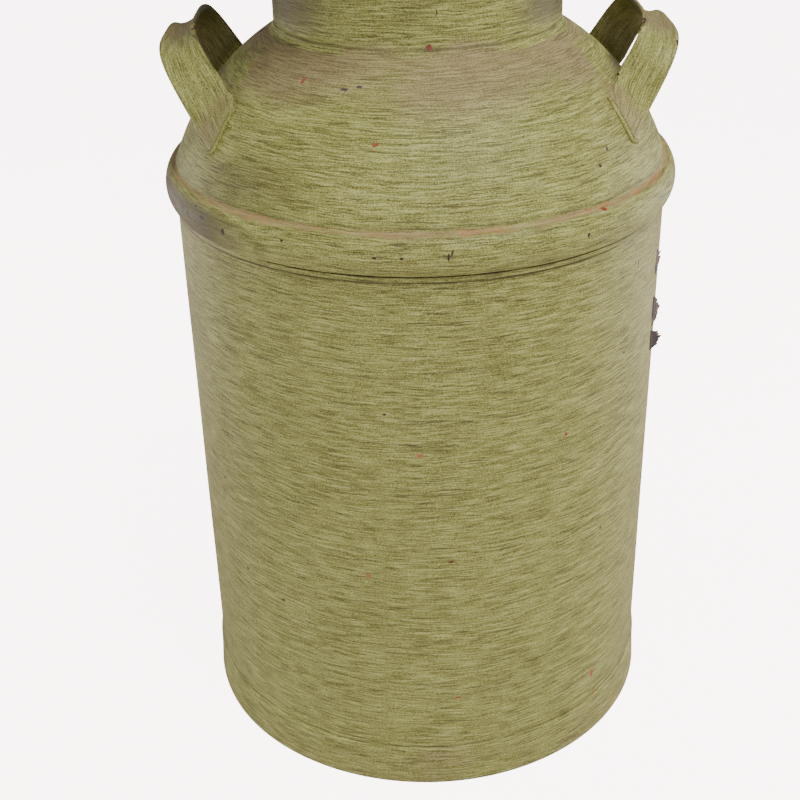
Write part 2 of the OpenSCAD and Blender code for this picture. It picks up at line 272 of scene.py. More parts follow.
class Graph:
    """Builds one node material, with short calls for the nodes that the materials share."""

    def __init__(self, name):
        self.material = bpy.data.materials.new(name)
        self.material.use_nodes = True
        self.tree = self.material.node_tree
        self.tree.nodes.clear()
        self.shader = self.node("BsdfPrincipled", {})
        self.node("OutputMaterial", {"Surface": self.shader.outputs[0]})
        self.place = self.node("TexCoord", {}).outputs["Object"]

    def put(self, socket, value):
        """Gives a socket a value or a link."""
        if isinstance(value, bpy.types.NodeSocket):
            self.tree.links.new(value, socket)
        else:
            socket.default_value = value

    def node(self, kind, sockets, **settings):
        """A new node: its settings first, then its sockets."""
        node = self.tree.nodes.new("ShaderNode" + kind)
        for name, value in settings.items():
            setattr(node, name, value)
        for name, value in sockets.items():
            self.put(node.inputs[name], value)
        return node

    def feed(self, name, value):
        """The same for one of the shader's own sockets."""
        self.put(self.shader.inputs[name], value)

    def attribute(self, name):
        return self.node("Attribute", {}, attribute_name=name).outputs["Vector"]

    def vector(self, operation, a, b=(0, 0, 0)):
        node = self.node("VectorMath", {0: a, 1: b}, operation=operation)
        return node.outputs["Value" if operation in ("LENGTH", "DISTANCE") else "Vector"]

    def math(self, operation, a, b=0.0):
        return self.node("Math", {0: a, 1: b}, operation=operation).outputs[0]

    def add(self, total, *others):
        for other in others:
            total = self.math("ADD", total, other)
        return total

    def times(self, a, b):
        return self.math("MULTIPLY", a, b)

    def weigh(self, *parts):
        """The sum of each value times its weight."""
        return self.add(*[self.times(value, weight) for value, weight in parts])

    def sway(self, a, amount):
        """Noise from 0 to 1 turned into a number that swings about 0."""
        return self.times(self.math("SUBTRACT", a, 0.5), amount)

    def off(self, a, level):
        """How far a value is from a level."""
        return self.math("ABSOLUTE", self.math("SUBTRACT", a, level))

    def split(self, a):
        return self.node("SeparateXYZ", {0: a}).outputs

    def join(self, x, y, z):
        return self.node("CombineXYZ", {0: x, 1: y, 2: z}).outputs[0]

    def noise(self, a, scale, detail, roughness=0.5):
        sockets = {"Vector": a, "Scale": scale, "Detail": detail, "Roughness": roughness}
        return self.node("TexNoise", sockets).outputs["Fac"]

    def streaks(self, stroke, pitch, detail, roughness):
        """Noise drawn out along the brush strokes."""
        return self.noise(self.vector("MULTIPLY", stroke, pitch), 1, detail, roughness)

    def cells(self, a, scale):
        node = self.node("TexVoronoi", {"Vector": a, "Scale": scale})
        return node.outputs["Distance"], node.outputs["Color"]

    def step(self, a, low, high):
        """0 below low, 1 above high, smooth between. Low may be the larger, which turns it round."""
        flipped = low > high
        sockets = {"Value": a, "From Min": min(low, high), "From Max": max(low, high),
                   "To Min": float(flipped), "To Max": float(not flipped)}
        return self.node("MapRange", sockets, interpolation_type="SMOOTHSTEP").outputs[0]

    def mix(self, amount, a, b):
        return self.node("Mix", {0: amount, 6: a, 7: b}, data_type="RGBA").outputs[2]

    def ramp(self, a, stops):
        node = self.node("ValToRGB", {0: a})
        while len(node.color_ramp.elements) < len(stops):
            node.color_ramp.elements.new(0.5)
        for element, (place, colour) in zip(node.color_ramp.elements, stops):
            element.position = place
            element.color = colour
        return node.outputs[0]

    def bump(self, height, distance, strength, below=None):
        sockets = {"Distance": distance, "Strength": strength, "Height": height}
        if below is not None:
            sockets["Normal"] = below
        return self.node("Bump", sockets).outputs[0]


def tone(red, green, blue):
    """A colour given as it looks on a screen, from 0 to 255, as linear light."""
    def linear(c):
        c /= 255
        return c / 12.92 if c <= 0.04045 else ((c + 0.055) / 1.055) ** 2.4
    return (linear(red), linear(green), linear(blue), 1.0)


DEEP = tone(82, 79, 43)
MID = tone(137, 138, 74)
PALE = tone(183, 185, 120)
DUST = tone(152, 133, 102)
# Colour of the painted shade
SHADE = tone(70, 58, 38)
PRIMER = tone(176, 114, 80)
WORN_TAN = tone(164, 134, 98)
CHIP = tone(62, 42, 36)
# Dirt and painted shade in the seams
DIRT_AND_SHADE = tone(72, 64, 38)
SCORED = tone(78, 68, 48)
OLD_DUST = tone(118, 102, 72)
HANDLE_RED = tone(134, 84, 66)
HANDLE_BROWN = tone(74, 40, 42)
FLAKE_BED = tone(92, 62, 54)

# Spots on the can's paint: bearing, height in metres, then width and tallness in millimetres, colour
SPOTS = [
    (-2.4, 0.2725, 4.0, 3.0, tone(169, 105, 72)),
    (4.3, 0.191, 4.5, 1.5, tone(103, 53, 46)),
    (-14.7, 0.178, 4.0, 2.6, tone(160, 108, 79)),
    (45.5, 0.0525, 4.0, 6.5, tone(169, 89, 79)),
    (46.5, 0.0326, 2.4, 3.0, tone(160, 95, 83)),
    (32.0, 0.271, 2.6, 2.8, tone(151, 72, 57)),
    (5.8, 0.0756, 4.0, 1.8, tone(146, 81, 64)),
    (45.4, 0.1816, 1.4, 3.4, tone(60, 45, 34)),
    (53.8, 0.370, 1.0, 3.0, tone(41, 31, 26)),
    (-58.6, 0.212, 1.4, 2.0, tone(52, 38, 29)),
    (-38.3, 0.138, 3.0, 2.0, tone(83, 72, 43)),
    (-70.5, 0.295, 1.6, 1.6, tone(52, 43, 34)),
    (-12.0, 0.4635, 3.6, 1.8, tone(144, 77, 57)),
    (-61.9, 0.4084, 3.0, 4.2, CHIP),
    (-59.2, 0.4070, 4.6, 3.6, CHIP),
    (-53.2, 0.4102, 4.8, 2.8, CHIP),
    (-45.6, 0.4069, 3.0, 4.0, CHIP),
    (-56.1, 0.4145, 1.4, 1.6, CHIP),
    (-73.9, 0.4128, 2.6, 2.0, CHIP),
    (-10.5, 0.4075, 2.4, 1.5, CHIP),
    (-5.3, 0.4073, 2.2, 1.5, CHIP),
    (-65.3, 0.4888, 1.4, 5.0, tone(177, 117, 72)),
    (-38.4, 0.4891, 2.4, 3.2, tone(151, 83, 65)),
    (-23.5, 0.4877, 4.6, 1.8, tone(89, 71, 72)),
    (-19.2, 0.4893, 3.6, 1.4, tone(89, 71, 72)),
    (-92.1, 0.4981, 5.0, 4.0, CHIP),
    (71.6, 0.352, 9.0, 17.0, FLAKE_BED),
    (72.0, 0.314, 11.0, 20.0, FLAKE_BED),
    (71.8, 0.294, 12.0, 15.0, tone(84, 58, 52)),
    (2.3, 0.5074, 3.4, 4.0, tone(120, 62, 50)),
    (3.7, 0.4077, 1.2, 4.6, CHIP),
    (4.5, 0.4100, 1.0, 3.0, CHIP),
    (55.4, 0.3680, 1.4, 4.6, CHIP),
    (33.7, 0.4077, 2.2, 2.4, CHIP),
    (39.5, 0.4183, 3.6, 2.0, tone(140, 62, 48)),
    (46.8, 0.4468, 2.6, 2.6, tone(88, 66, 62)),
    (42.7, 0.4400, 2.6, 1.8, CHIP),
    (5.2, 0.5279, 1.0, 4.6, tone(84, 72, 48)),
]

# Round marks on the handles' legs: place in metres, width in millimetres, colour
HANDLE_MARKS = [
    ((0.1392, -0.0578, 0.4846), 4.0, HANDLE_RED),
    ((0.1466, -0.0578, 0.4849), 4.4, HANDLE_RED),
    ((0.1494, -0.0578, 0.4827), 3.6, tone(122, 70, 58)),
    ((-0.1566, -0.0578, 0.4955), 5.0, HANDLE_BROWN),
    ((-0.1557, -0.0578, 0.4901), 4.4, HANDLE_BROWN),
    ((-0.1356, -0.0578, 0.5142), 2.4, CHIP),
    ((-0.1342, -0.0578, 0.5096), 2.8, CHIP),
    ((-0.1325, -0.0578, 0.5053), 2.6, CHIP),
]


SPOT_DEPTH = 8 * MM


def spot_mask(g, place, bearing, z, width, height):
    """1 inside an uneven oval spot on the can's outer face."""
    a = radians(bearing)
    r = BODY_R
    if z > BAND_LOW:
        r = BAND_R - 1 * MM
    if z > BAND_TOP:
        r = DOME_C.x + sqrt(DOME_R ** 2 - (min(z, NECK_Z) - DOME_C.y) ** 2)
    sockets = {"Vector": place, "Location": (r * sin(a), -r * cos(a), z), "Rotation": (0, 0, a),
               "Scale": (width * MM / 2, SPOT_DEPTH, height * MM / 2)}
    node = g.node("Mapping", sockets, vector_type="TEXTURE")
    return g.step(g.vector("LENGTH", node.outputs[0]), 1.15, 0.85)


# Lines of dirt and painted shade in the seams, and a painted contact shadow at the foot, on any face at
# that height: height, half width, strength
SEAMS = [
    (BAND_LOW - 0.3 * MM, 1.0 * MM, 0.9),
    (STRIP_LOW - 0.9 * MM, 1.1 * MM, 0.85),
    (BAND_TOP + 3.6 * MM, 1.5 * MM, 0.35),
    (NECK_Z + 3.2 * MM, 1.6 * MM, 0.55),
    (HOOP_TOP + 1.0 * MM, 1.4 * MM, 0.45),
    (0.4 * MM, 1.2 * MM, 0.6),
]

# Pitch of each kind of brush mark, per metre: along the stroke in X and Y, then across it
HAIR = (62, 62, 1450)
BRISTLE = (36, 36, 950)
SWEEP = (6, 6, 110)
SCORE = (34, 34, 1000)
RUB = (30, 30, 260)


def seam_dirt_and_shade(g, height):
    """The strength of each seam's dirt and painted shade along its line, 0 away from them."""
    darkening = 0.0
    for z, half, strength in SEAMS:
        darkening = g.math("MAXIMUM", g.times(g.step(g.off(height, z), half, half * 0.2), strength), darkening)
    return darkening


def brush_marks(g, stroke):
    """Streaks from fine to broad, then the dark scored lines, all along slightly wavy strokes."""
    drift = g.sway(g.noise(g.place, 9, 2), 7 * MM)
    ripple = g.sway(g.noise(g.place, 90, 3), 2.2 * MM)
    x, y, across = g.split(stroke)
    brushed = g.join(x, y, g.add(across, drift, ripple))
    hair = g.streaks(brushed, HAIR, 1, 0.5)
    bristle = g.streaks(brushed, BRISTLE, 2, 0.6)
    sweep = g.streaks(brushed, SWEEP, 3, 0.55)
    thinned = g.add(g.streaks(brushed, SCORE, 2, 0.6), g.sway(g.noise(g.place, 26, 4, 0.6), 0.12))
    return hair, bristle, sweep, g.step(thinned, 0.38, 0.34)


def brushed_green(g, hair, bristle, sweep, line, speckle):
    """The green itself, dark between the bristles and pale on them."""
    blotch = g.noise(g.place, 14, 5, 0.62)
    level = g.weigh((hair, 0.38), (bristle, 0.15), (sweep, 0.04), (blotch, 0.04), (speckle, 0.39))
    green = g.ramp(level, [(0.375, DEEP), (0.492, MID), (0.61, PALE)])
    return g.mix(g.times(line, 0.64), green, SCORED)


def dust_film(g, dust_and_shade, hair, speckle):
    """How much the dust covers, and its colour."""
    grime = g.noise(g.place, 20, 5, 0.65)
    cover = g.times(g.step(g.add(dust_and_shade, g.sway(grime, 1.3)), 0.25, 0.95), 0.78)
    return cover, g.mix(g.step(g.add(hair, speckle), 0.84, 1.12), OLD_DUST, DUST)


def worn_primer(g, height, wear, rub, rub_long, speckle):
    """How much primer shows, and its colour. Above the band it keeps to the groove."""
    groove = g.add(g.off(height, BAND_TOP + 1.0 * MM), g.sway(g.noise(g.place, 130, 3, 0.7), 4 * MM))
    reach = g.add(g.step(groove, 2.4 * MM, 0.9 * MM), g.step(groove, 6 * MM, 12 * MM))
    worn = g.weigh((rub, 0.30), (rub_long, 0.30), (g.times(wear, reach), 0.60))
    worn = g.step(g.add(worn, g.sway(speckle, 0.35)), 0.62, 0.92)
    reddish = g.weigh((rub, 0.6), (g.noise(g.place, 30, 2), 0.6))
    return g.times(worn, 0.78), g.mix(g.step(reddish, 0.58, 0.76), WORN_TAN, PRIMER)


def bare_chips(g, stroke, chip):
    """1 where the paint is pitted or chipped away."""
    near, pick = g.cells(g.vector("MULTIPLY", stroke, (1, 1, 1.6)), 70)
    limit = g.add(g.times(chip, 0.55), 0.020)
    pitted = g.times(g.math("LESS_THAN", g.split(pick)[0], limit), g.step(near, 0.12, 0.07))
    flaked = g.add(g.noise(g.place, 210, 3, 0.6), g.times(chip, 0.30))
    return g.math("MAXIMUM", pitted, g.step(flaked, 0.80, 0.84))


def add_spots(g, colour, spots, marks):
    """Lays the single spots and marks over the paint, with uneven edges."""
    jitter = g.sway(g.noise(g.place, 380, 2), 2.2 * MM)
    shaken = g.vector("ADD", g.place, g.join(jitter, jitter, jitter))
    for bearing, z, width, tall, shade in spots:
        colour = g.mix(spot_mask(g, shaken, bearing, z, width, tall), colour, shade)
    for place, width, shade in marks:
        away = g.vector("DISTANCE", shaken, place)
        colour = g.mix(g.step(away, 0.6 * width * MM, 0.4 * width * MM), colour, shade)
    return colour


def paint(name, spots=(), marks=()):
    """Brushed green paint: streaks along the strokes, dust, painted shade, worn primer, dirt and painted
    shade in the seams, chips and spots.
    """
    g = Graph(name)
    stroke = g.attribute("stroke")
    wear, dust_and_shade, chip = g.split(g.attribute("mask"))
    height = g.split(g.place)[2]
    hair, bristle, sweep, line = brush_marks(g, stroke)
    speckle = g.noise(g.place, 1300, 1, 0.6)
    rub = g.noise(g.place, 150, 4, 0.7)
    rub_long = g.streaks(stroke, RUB, 3, 0.6)

    colour = brushed_green(g, hair, bristle, sweep, line, speckle)
    dusty, film = dust_film(g, dust_and_shade, hair, speckle)
    colour = g.mix(dusty, colour, film)
    # Painted shade: a mask value below 0 darkens the paint towards SHADE.
    colour = g.mix(g.step(dust_and_shade, -0.1, -0.8), colour, SHADE)
    worn, primer = worn_primer(g, height, wear, rub, rub_long, speckle)
    colour = g.mix(worn, colour, primer)
    # Dirt and painted shade in the seams, broken up by streaky noise.
    colour = g.mix(g.times(seam_dirt_and_shade(g, height), g.step(rub_long, 0.30, 0.52)), colour, DIRT_AND_SHADE)
    bare = bare_chips(g, stroke, chip)
    colour = g.mix(bare, colour, CHIP)
    g.feed("Base Color", add_spots(g, colour, spots, marks))

    g.feed("Roughness", g.add(0.42, g.times(hair, 0.20), g.times(dusty, 0.22)))
    relief = g.weigh((hair, 0.7), (bristle, 0.9), (speckle, 0.10), (line, -0.30), (bare, -0.5))
    g.feed("Normal", g.bump(relief, 0.5 * MM, 0.7))
    g.feed("Specular IOR Level", 0.22)
    return g.material


def bare_steel(name, light, dark, rough):
    """Dull tinned or soldered steel with stains."""
    g = Graph(name)
    stroke = g.attribute("stroke")
    drawn = g.streaks(stroke, (16, 16, 520), 3, 0.6)
    stain = g.noise(g.place, 16, 5, 0.65)
    pits = g.noise(g.place, 260, 3, 0.7)
    colour = g.mix(g.step(stain, 0.40, 0.62), light, dark)
    colour = g.mix(g.step(pits, 0.62, 0.70), colour, tone(94, 72, 52))
    colour = g.mix(g.times(g.step(drawn, 0.5, 0.3), 0.35), colour, dark)
    g.feed("Base Color", colour)
    g.feed("Metallic", 0.85)
    g.feed("Roughness", g.add(rough, g.times(stain, 0.3)))
    g.feed("Normal", g.bump(drawn, 0.1 * MM, 0.6, g.bump(pits, 0.2 * MM, 0.5)))
    return g.material


def flake_material():
    """Torn paint: dark primer with painted shade, and ragged green remains."""
    g = Graph("torn_paint")
    patch = g.noise(g.place, 160, 4, 0.65)
    # The dark tone is primer and painted shade.
    colour = g.mix(g.step(patch, 0.50, 0.62), tone(48, 34, 38), tone(112, 92, 66))
    g.feed("Base Color", colour)
    g.feed("Roughness", g.add(0.5, g.times(patch, 0.3)))
    g.feed("Normal", g.bump(patch, 0.4 * MM, 0.7))
    return g.material


HOOP_SPOTS = [spot for spot in SPOTS if spot[1] < HOOP_TOP or BAND_LOW < spot[1] < BAND_TOP]
MATERIALS = {
    "body_paint": paint("body_paint", spots=SPOTS),
    "hoop_paint": paint("hoop_paint", spots=HOOP_SPOTS),
    "handle_paint": paint("handle_paint", marks=HANDLE_MARKS),
    "bare_tin": bare_steel("bare_tin", tone(150, 146, 136), tone(104, 96, 84), 0.35),
    "solder": bare_steel("solder", tone(160, 158, 152), tone(120, 116, 108), 0.30),
}


# The can

def body_mask(bearing, r, z):
    """Dust gathers low on the wall and below the band; round the sides it is dust and painted sheen."""
    low = 0.25 * hill(z, 0, 0.05)
    under_band = 0.15 * hill(z, BAND_LOW, 0.02)
    # Dust and painted sheen, growing away from the front.
    side = 0.44 * smooth((abs(apart(bearing, 0)) - 32) / 50)
    return 0, low + under_band + side, 0.05 * hill(z, 0, 0.01)


def make_body():
    inner = BODY_R - SHEET
    top = BAND_LOW + 12 * MM
    outline = rounded([(BODY_R, 0), (BODY_R, top), (inner, top), (inner, 0)], 0.4 * MM, 2)
    revolve("body_wall", fine(outline, 4 * MM), "body_paint", "can", "body_shell",
            segments=480, shift=wall_shift, mask=body_mask)


def make_hoop():
    low_in = BODY_R - 0.6 * MM
    outline = rounded([
        (low_in, 0.2 * MM, 0), (HOOP_R, 0, 0.8 * MM), (HOOP_R - 0.5 * MM, 8 * MM, 4 * MM),
        (BODY_R + 1.9 * MM, HOOP_TOP * 0.5, 6 * MM), (BODY_R + 1.5 * MM, HOOP_TOP - 1.2 * MM, 1.2 * MM),
        (BODY_R + 0.1 * MM, HOOP_TOP + 0.4 * MM, 0.8 * MM), (low_in, HOOP_TOP + 0.2 * MM, 0),
    ], 1 * MM)

    def mask(bearing, r, z):
        edge = hill(z, 0, 2 * MM)
        return 0.25 * hill(z, HOOP_TOP, 1.5 * MM), 0.35 + 0.2 * edge, 0.3 * edge

    revolve("foot_hoop", fine(outline, 2.5 * MM), "hoop_paint", "can", "bottom_hoop",
            segments=480, shift=wall_shift, mask=mask)


def make_pan():
    """Bottom plate, the solder in its corner and the strip behind the wall's seam."""
    rim, top = BODY_R - SHEET, PAN_TOP
    floor = top - 5 * MM
    outline = rounded([
        (rim, 1 * MM), (rim, top), (rim - 14 * MM, top, 5 * MM), (rim - 34 * MM, floor, 8 * MM),
        (0, floor, 0), (0, floor - SHEET, 0), (rim - 34 * MM, floor - SHEET, 8 * MM),
        (rim - 14 * MM, top - SHEET, 5 * MM), (rim - SHEET, top - SHEET, 1.5 * MM), (rim - SHEET, 1 * MM),
    ], 0.5 * MM)
    revolve("bottom_plate", fine(outline, 6 * MM), "bare_tin", "can", "bottom_pan", segments=240)
    corner = [(rim - 6 * MM, top), (rim + 0.2 * MM, top)]
    corner += [(rim + 0.2 * MM, top + 6 * MM)] + arc((rim - 6 * MM, top + 6 * MM), 6 * MM, 0, -90, 8)[1:-1]
    revolve("bottom_fillet", corner, "solder", "can", "bottom_solder", segments=240)
    half = degrees(12 * MM / BODY_R)
    strip = rounded([
        (rim, top + 8 * MM), (rim - SHEET, top + 8 * MM), (rim - SHEET, BAND_LOW + 4 * MM),
        (rim, BAND_LOW + 4 * MM),
    ], 0.5 * MM)
    revolve("seam_strip", fine(strip, 12 * MM), "bare_tin", "can", "body_seam_strip",
            segments=16, start=SEAM_BEARING - half, sweep=2 * half)


def dome_angle(z):
    """Angle on the shoulder's arc at a height."""
    return degrees(asin((z - DOME_C.y) / DOME_R))


def groove_wear(bearing, z):
    """Paint rubbed off along the groove above the band, most of all at the front left and the right."""
    place = radians(bearing)
    uneven = 0.5 + 0.5 * wobble((cos(place), sin(place), 0), 4.0, 3)
    left = 0.95 * hill(apart(bearing, -38), 0, 26)
    right = 0.9 * hill(apart(bearing, 55), 0, 30)
    rest = 0.74 + 0.20 * uneven
    return max(left, right, rest) * smooth(2 - abs(z - BAND_TOP) / (4 * MM))


def shoulder_mask(bearing, r, z):
    """Dust on the upper shoulder and at the handles' feet, painted shade at the left and under the
    handles.
    """
    up = (z - BAND_TOP) / (NECK_Z - BAND_TOP)
    dust_and_shade = 0.75 * smooth((up - 0.42) / 0.45)
    foot = 0
    for side in (-90, 90):
        across = abs(apart(bearing, side))
        foot = max(foot, 0.75 * hill(across, 20, 20) * hill(z, 0.470, 0.032))
    left = 0.25 * smooth((-apart(bearing, 0) - 25) / 60)
    # Painted shade low on the shoulder's left side.
    left -= 0.60 * smooth((-apart(bearing, 0) - 5) / 50) * hill(z, 0.437, 0.028)
    hollow = min(abs(apart(bearing, -90)), abs(apart(bearing, 90)))
    # Painted shade on the shoulder under each handle's arch.
    shade_under_handles = 1.1 * smooth((28 - hollow) / 5) * hill(z, 0.476, 0.014)
    return groove_wear(bearing, z), max(dust_and_shade, foot) + left - shade_under_handles, 0.02


def make_shoulder():
    """The domed shoulder and the skirt that laps over the wall."""
    high = 90 - degrees(asin((NECK_R - DOME_C.x) / DOME_R))
    low = dome_angle(BAND_TOP - 1.3 * MM)
    outside = arc(DOME_C, DOME_R, low, high, 60)
    inside = arc(DOME_C, DOME_R - SHEET, high, low, 60)
    hole = NECK_R - 0.3 * MM
    inside[0] = (hole, inside[0][1])
    outside[-1] = (hole, outside[-1][1])
    skirt_low, skirt_high = BAND_LOW + 0.5 * MM, BAND_LOW + 13 * MM
    skirt_r = BODY_R + SHEET
    skirt = [(BODY_R, skirt_high), (BODY_R, skirt_low), (skirt_r, skirt_low), (skirt_r, skirt_high)]
    revolve("shoulder_dome", fine(skirt + outside + inside, 3 * MM), "body_paint", "can", "shoulder",
            segments=480, shift=wall_shift, mask=shoulder_mask)


def make_band():
    """The half-round band, its upper edge rounded into the groove, and the lap strip under it."""
    bead_r = 19 * MM
    centre = (BAND_R - bead_r, (BAND_LOW + BAND_TOP) / 2)
    half = degrees(asin((BAND_TOP - BAND_LOW) / 2 / bead_r))
    bead = arc(centre, bead_r, -half + 2, half - 2, 26)
    groove = GROOVE_R - 0.3 * MM
    outline = [(BODY_R + 0.5 * MM, BAND_LOW + 0.5 * MM), (BODY_R + 1.6 * MM, BAND_LOW)]
    outline += bead
    outline += [(bead[-1][0] - 1.2 * MM, BAND_TOP - 0.05 * MM), (groove + 1.1 * MM, BAND_TOP + 0.1 * MM),
                (groove + 0.2 * MM, BAND_TOP + 0.9 * MM), (groove - 0.9 * MM, BAND_TOP + 2.4 * MM),
                (groove - 2 * MM, BAND_TOP - 3 * MM), (BODY_R, BAND_LOW + 12 * MM)]

    def mask(bearing, r, z):
        dust_and_shade = 0.30 * smooth((z - BAND_TOP + 6 * MM) / (6 * MM))
        # Painted shade on the band's left side.
        dust_and_shade -= 0.60 * smooth((-apart(bearing, 0) - 25) / 30)
        return groove_wear(bearing, z), dust_and_shade, 0.10 * hill(apart(bearing, -54), 0, 12)

    revolve("shoulder_hoop", fine(outline, 1.5 * MM), "hoop_paint", "can", "shoulder_band",
            segments=480, shift=wall_shift, mask=mask)

    strip = rounded([
        (BODY_R - 0.5 * MM, STRIP_LOW), (BODY_R + 1.0 * MM, STRIP_LOW, 0.5 * MM),
        (BODY_R + 1.5 * MM, BAND_LOW - 0.7 * MM, 0.5 * MM), (BODY_R - 0.5 * MM, BAND_LOW - 0.5 * MM),
    ], 0)

    def strip_mask(bearing, r, z):
        end = hill(apart(bearing, STRIP_START), 0, 0.9)
        return 1.2 * end, 0.1, 0.3 * end

    revolve("under_band_strip", fine(strip, 1 * MM), "hoop_paint", "can", "lap_strip",
            segments=420, shift=wall_shift, mask=strip_mask, start=STRIP_START, sweep=STRIP_SWEEP)


def make_neck():
    """Neck, flare and lip, the fillet at the neck's foot, and the hoop round the mouth."""
    fillet_r = 6 * MM
    reach = DOME_R + fillet_r
    centre = (NECK_R + fillet_r, DOME_C.y + sqrt(reach ** 2 - (NECK_R + fillet_r - DOME_C.x) ** 2))
    toward = degrees(atan2(centre[1] - DOME_C.y, centre[0] - DOME_C.x)) + 180
    fillet = arc(centre, fillet_r, toward, 180, 8)
    inner, lip_in = NECK_R - SHEET, LIP_R - SHEET
    end_r, end_z = NECK_R - 0.4 * MM, NECK_Z - 6 * MM
    wall = rounded([
        (NECK_R, centre[1], 0), (NECK_R, FLARE_Z, 9 * MM), (LIP_R, LIP_Z, 8 * MM),
        (LIP_R, MOUTH_TOP, 0.7 * MM), (lip_in, MOUTH_TOP, 0.7 * MM), (lip_in, LIP_Z, 8 * MM),
        (inner, FLARE_Z, 9 * MM), (inner, end_z, 0.5 * MM), (end_r, end_z, 0.5 * MM),
        (end_r, NECK_Z - 3 * MM, 0),
    ], 0)
    foot = (fillet[0][0], fillet[0][1] - 0.8 * MM)

    def mask(bearing, r, z):
        # Dust at the neck's foot; painted shade on its sides, away from the front.
        low = hill(z, NECK_Z, 9 * MM)
        side = smooth((abs(apart(bearing, 0)) - 15) / 40)
        return 0, 0.55 * low + 0.15 - 0.72 * side, 0.15 * hill(z, MOUTH_TOP, 4 * MM)

    revolve("neck_wall", fine([foot] + fillet + wall, 3 * MM), "body_paint", "can",
            ["neck_collar", "neck_solder"], segments=400, mask=mask)

    bead_r, bead_in = 6 * MM, LIP_R - 0.4 * MM
    bead = arc((MOUTH_HOOP_R - bead_r, MOUTH_TOP - 8 * MM), bead_r, -80, 80, 18)
    outline = [(bead_in, bead[0][1])] + bead + [(bead_in, bead[-1][1])]
    revolve("mouth_bead", fine(outline, 2 * MM), "hoop_paint", "can", "mouth_hoop",
            segments=400, mask=lambda bearing, r, z: (0.1, 0.3, 0.12))


# The handles

# The arch stands in a leaning plane through FOOT. Its outline is a superellipse.
FOOT = Vector((126.6, 0, 457.2)) * MM
LEAN = radians(61.4)
UP = Vector((cos(LEAN), 0, sin(LEAN)))
ACROSS = Vector((-sin(LEAN), 0, cos(LEAN)))
GRIP_H = 49.4 * MM
LEG_GAP = 56.4 * MM
ARCH_POWER = 2 / 3.6
LEG_SPLAY = 0.042
STRAP_W = 33 * MM
CROWN_NARROWER = 7 * MM
LIP_RISE = 5.4 * MM
STRAP_T = 2.7 * MM

# The tabs' free edges: bearing on either side, angles on the shoulder's arc
TAB_AZ = 32
TAB_PHI = (29.6, 39.5)
TAB_EDGE = 0.9
ARCH_ROWS, TAB_ROWS = 64, 16


def arch_point(turn, side):
    """A point of the arch's middle face: turn in degrees from foot to foot, side from -1 to 1."""
    a = radians(turn)
    up = abs(cos(a)) ** ARCH_POWER
    along = copysign(abs(sin(a)) ** ARCH_POWER, a) * (1 - LEG_SPLAY * (1 - up))
    width = STRAP_W - CROWN_NARROWER * up
    rise = GRIP_H * up + LIP_RISE * smooth((up - 0.35) / 0.6) * abs(side) ** 2.5
    return FOOT + UP * rise + Vector((0, LEG_GAP * along, 0)) + ACROSS * (side * width / 2)


def dome_place(p):
    """Bearing from +X, angle on the shoulder's arc, and height above it."""
    r = hypot(p.x, p.y) - DOME_C.x
    z = p.z - DOME_C.y
    return degrees(atan2(p.y, p.x)), degrees(atan2(z, r)), hypot(r, z) - DOME_R


def dome_point(az, phi, lift):
    """The point at a bearing, an angle on the shoulder's arc and a height above it."""
    a, b = radians(az), radians(phi)
    r = DOME_C.x + (DOME_R + lift) * cos(b)
    return Vector((r * cos(a), r * sin(a), DOME_C.y + (DOME_R + lift) * sin(b)))


def dome_normal(az, phi):
    a, b = radians(az), radians(phi)
    return Vector((cos(b) * cos(a), cos(b) * sin(a), sin(b)))


def landing(side, lift):
    """The turn at which the strap meets the shoulder, found by halving."""
    low, high = 20, 89.99
    for _ in range(24):
        mid = (low + high) / 2
        if dome_place(arch_point(mid, side))[2] > lift:
            low = mid
        else:
            high = mid
    return low


def spaced(line, parts):
    """The line of points cut into equal lengths."""
    lengths = [0]
    for a, b in zip(line, line[1:]):
        lengths.append(lengths[-1] + (b - a).length)
    out, i = [], 0
    for k in range(parts + 1):
        want = lengths[-1] * k / parts
        while i < len(line) - 2 and lengths[i + 1] < want:
            i += 1
        step = lengths[i + 1] - lengths[i]
        out.append(line[i].lerp(line[i + 1], (want - lengths[i]) / step if step else 0))
    return out


def strap_rows(sides, lift):
    """The strap's middle face as rows of points, from one foot tab over the arch to the other."""
    columns = []
    for side in sides:
        land = landing(side, lift)
        arch = [arch_point(land * sin(pi / 2 * k / 200), side) for k in range(-200, 201)]
        end_phi = TAB_PHI[0] + (TAB_PHI[1] - TAB_PHI[0]) * (side + 1) / 2
        tabs = []
        for sign in (-1, 1):
            az, phi, _ = dome_place(arch_point(sign * land, side))
            steps = [k / TAB_ROWS for k in range(TAB_ROWS + 1)]
            tabs.append([dome_point(az * (1 - q) + sign * TAB_AZ * q, phi * (1 - q) + end_phi * q, lift)
                         for q in steps])
        columns.append(tabs[0][:0:-1] + spaced(arch, 2 * ARCH_ROWS) + tabs[1][1:])
    return [list(row) for row in zip(*columns)]


def ease_fold(rows, lift, passes=60):
    """Rounds the bend between each leg and its tab."""
    folds = (TAB_ROWS, 2 * ARCH_ROWS + TAB_ROWS)
    weights = [max(hill(i, f, 7) for f in folds) for i in range(len(rows))]
    for _ in range(passes):
        eased = [list(r) for r in rows]
        for i in range(1, len(rows) - 1):
            if weights[i] < 0.02:
                continue
            for j, p in enumerate(rows[i]):
                q = p.lerp((rows[i - 1][j] + rows[i + 1][j]) / 2, weights[i])
                az, phi, height = dome_place(q)
                eased[i][j] = q if height > lift else dome_point(az, phi, lift)
        rows = eased
    return rows


def strap_ring(wide):
    """Around a strap's section: each point's column, and 1 on the front or -1 on the back."""
    return [(j, 1) for j in range(wide)] + [(j, -1) for j in range(wide - 2, 0, -1)]


